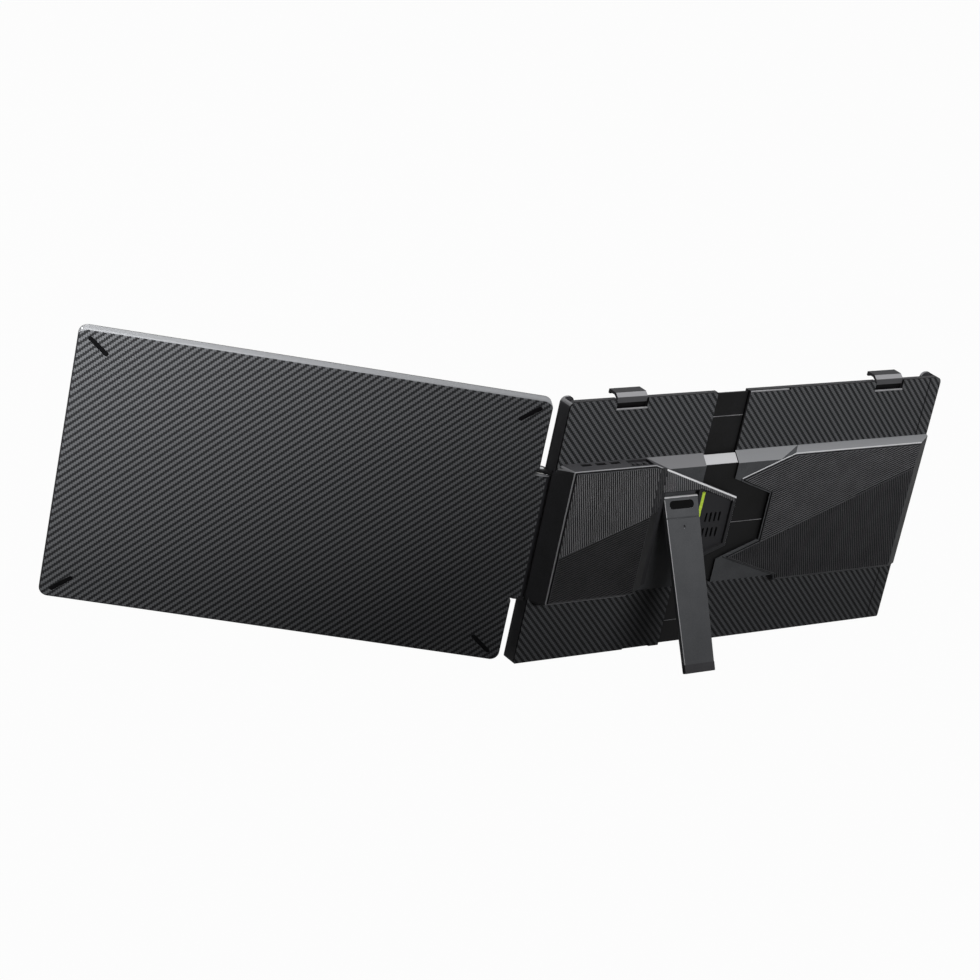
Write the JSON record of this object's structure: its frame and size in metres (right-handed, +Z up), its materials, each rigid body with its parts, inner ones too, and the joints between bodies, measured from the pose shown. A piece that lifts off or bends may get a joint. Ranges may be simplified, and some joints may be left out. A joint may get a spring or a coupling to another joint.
{
  "type": "clip-on portable monitor",
  "caption": "Screen wing hinged to a telescoping bracket that clips over a laptop's lid, with a control box, ports, buttons and a swing-out kickstand.",
  "frame": {"origin": "middle of the whole object's box, on the level that it stands on", "axes": "+X along the bracket from the screen's hinge, +Y towards the laptop user, +Z up"},
  "size_m": [0.7028, 0.2726, 0.2238],
  "materials": {
    "twill": "satin twill-textured moulding",
    "moulded": "fine matt moulding",
    "ribbed": "fine ribbed moulding",
    "rubber": "matt",
    "steel": "blackened to bright steel",
    "spring_steel": "drawn wire",
    "acetal": "satin",
    "circuit_board": "solder resist",
    "socket_shell": "plated sheet steel",
    "switch_black": "matt",
    "lime": "gloss",
    "painted_leg": "satin powder coat",
    "window": "gloss",
    "glass": "anti-glare coated",
    "backlight": "plain sheet",
    "button": "satin"
  },
  "bodies": {
    "bracket": {"accent_strip": "lime", "button_switches": "switch_black", "control_board": "circuit_board", "control_housing": "moulded", "guide_rods": "steel", "hdmi_socket": "socket_shell", "hinge_bracket": "steel", "hinge_pin": "steel", "hinge_screws": "steel", "hinge_washers": "acetal", "kickstand_base": "moulded", "kickstand_pin": "steel", "left_back_plate": "twill", "left_frame": "moulded", "left_hook_spring": "spring_steel", "left_lid_pads": "rubber", "left_ribbed_plate": "ribbed", "left_side_rail": "moulded", "rod_anchors": "moulded", "slide_sleeve": "moulded", "slide_tongue": "moulded", "slide_tray": "moulded", "usb_c_sockets": "socket_shell"},
    "slider": {"right_back_plate": "twill", "right_cover": "moulded", "right_frame": "moulded", "right_hook_spring": "spring_steel", "right_lid_pads": "rubber", "right_ribbed_plate": "ribbed", "right_side_rail": "moulded", "rod_bushes": "acetal"},
    "left_hook": {"left_hook": "moulded"},
    "right_hook": {"right_hook": "moulded"},
    "kickstand": {"kickstand_foot": "rubber", "kickstand_leg": "painted_leg", "kickstand_window": "window"},
    "screen": {"backlight_unit": "backlight", "corner_pads": "rubber", "display_panel": "glass", "screen_back_cover": "twill", "screen_bezel": "moulded", "screen_board": "circuit_board"},
    "power_button": {"power_button": "button"},
    "menu_rocker": {"menu_rocker": "button"},
    "back_button": {"back_button": "button"}
  },
  "joints": [
    {"name": "screen_fold", "type": "hinge", "parent": "bracket", "child": "screen", "pos_m": [-0.03808, -0.04513, 0.10625], "axis": [0, 0, 1], "range_deg": [-149.6, 30.4]},
    {"name": "bracket_slide", "type": "slide", "parent": "bracket", "child": "slider", "axis": [1, 0, 0], "range_m": [-0.0315, 0.02]},
    {"name": "kickstand_swing", "type": "hinge", "parent": "bracket", "child": "kickstand", "pos_m": [0.08792, -0.06963, 0.1368], "axis": [-1, 0, 0], "range_deg": [-28.6, 35]},
    {"name": "left_hook_lift", "type": "slide", "parent": "bracket", "child": "left_hook", "axis": [0, 0, 1], "range_m": [0, 0.02], "stiffness_N_per_m": 120, "springref_m": -0.01, "deforming": ["left_hook_spring"]},
    {"name": "right_hook_lift", "type": "slide", "parent": "slider", "child": "right_hook", "axis": [0, 0, 1], "range_m": [0, 0.02], "stiffness_N_per_m": 120, "springref_m": -0.01, "deforming": ["right_hook_spring"]},
    {"name": "power_button_press", "type": "slide", "parent": "bracket", "child": "power_button", "axis": [0, 0, 1], "range_m": [-0.0005, 0], "stiffness_N_per_m": 600, "springref_m": 0.001},
    {"name": "menu_rocker_press", "type": "slide", "parent": "bracket", "child": "menu_rocker", "axis": [0, 0, 1], "range_m": [-0.0005, 0], "stiffness_N_per_m": 600, "springref_m": 0.001},
    {"name": "back_button_press", "type": "slide", "parent": "bracket", "child": "back_button", "axis": [0, 0, 1], "range_m": [-0.0005, 0], "stiffness_N_per_m": 600, "springref_m": 0.001}
  ]
}
